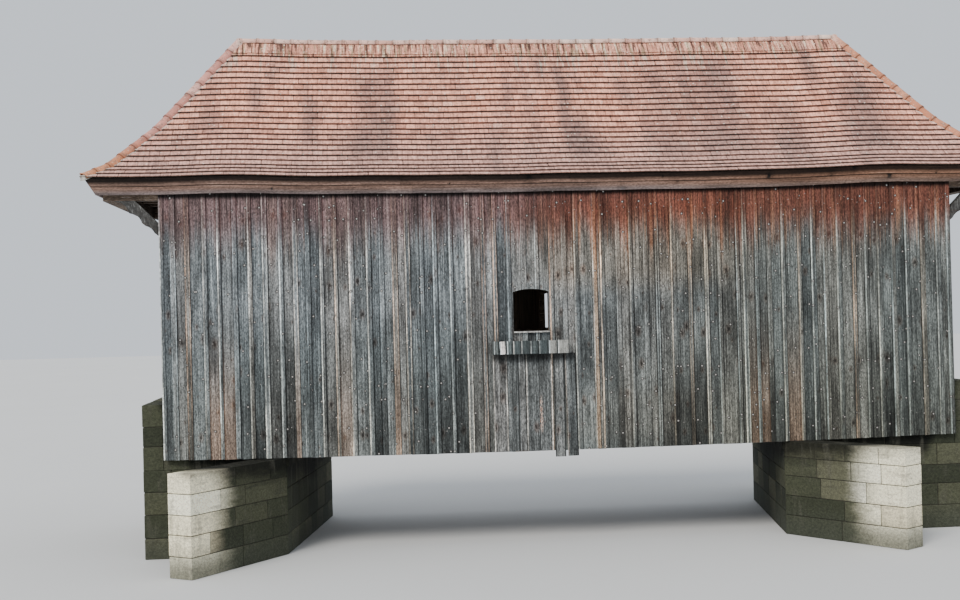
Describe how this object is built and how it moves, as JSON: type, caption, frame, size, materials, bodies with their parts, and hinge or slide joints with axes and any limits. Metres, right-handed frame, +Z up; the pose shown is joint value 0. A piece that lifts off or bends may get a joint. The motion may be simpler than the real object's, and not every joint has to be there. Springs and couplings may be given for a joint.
{
  "type": "covered bridge",
  "caption": "Boarded timber covered bridge with a bell-cast hipped tile roof, open ends and a small arched window, on stone abutments.",
  "frame": {"origin": "middle of the bridge on the plan, at water level, where the abutments stand", "axes": "+X along the bridge to the pictured right-hand end, +Y away from the pictured side, +Z up"},
  "size_m": [15.565, 7.748, 8.8278],
  "materials": {
    "wall_boards": "weathered grey-brown boards",
    "eave_boards": "weathered brown boards",
    "grey_timber": "bare silver-grey timber",
    "frame_timber": "rough dark sawn timber",
    "deck_planks": "worn planks",
    "roof_tiles": "matt weathered terracotta",
    "cap_tiles": "matt orange-pink terracotta",
    "sandstone": "weathered ashlar"
  },
  "bodies": {
    "root": {"left_abutment": "sandstone", "right_abutment": "sandstone", "bearing_timbers": "frame_timber", "front_chord": "frame_timber", "back_chord": "frame_timber", "floor_beams": "frame_timber", "floor_joists": "frame_timber", "deck": "deck_planks", "front_posts": "frame_timber", "back_posts": "frame_timber", "front_struts": "frame_timber", "back_struts": "frame_timber", "front_rails": "frame_timber", "back_rails": "frame_timber", "front_plate": "frame_timber", "back_plate": "frame_timber", "end_plates": "frame_timber", "left_eave_braces": "grey_timber", "right_eave_braces": "grey_timber", "knee_braces": "frame_timber", "tie_beams": "frame_timber", "stub_beams": "frame_timber", "front_rafters": "frame_timber", "back_rafters": "frame_timber", "end_rafters": "frame_timber", "hip_rafters": "frame_timber", "collar_beams": "frame_timber", "sprockets": "frame_timber", "roof_battens": "frame_timber", "front_tiles": "roof_tiles", "back_tiles": "roof_tiles", "left_tiles": "roof_tiles", "right_tiles": "roof_tiles", "ridge_caps": "cap_tiles", "hip_caps": "cap_tiles", "front_fascia": "eave_boards", "back_fascia": "eave_boards", "end_fascias": "eave_boards", "front_boarding": "wall_boards", "back_boarding": "wall_boards", "front_cover_strips": "wall_boards", "back_cover_strips": "wall_boards", "apron_boards": "wall_boards", "flower_box": "grey_timber", "window_sills": "grey_timber"}
  },
  "joints": []
}
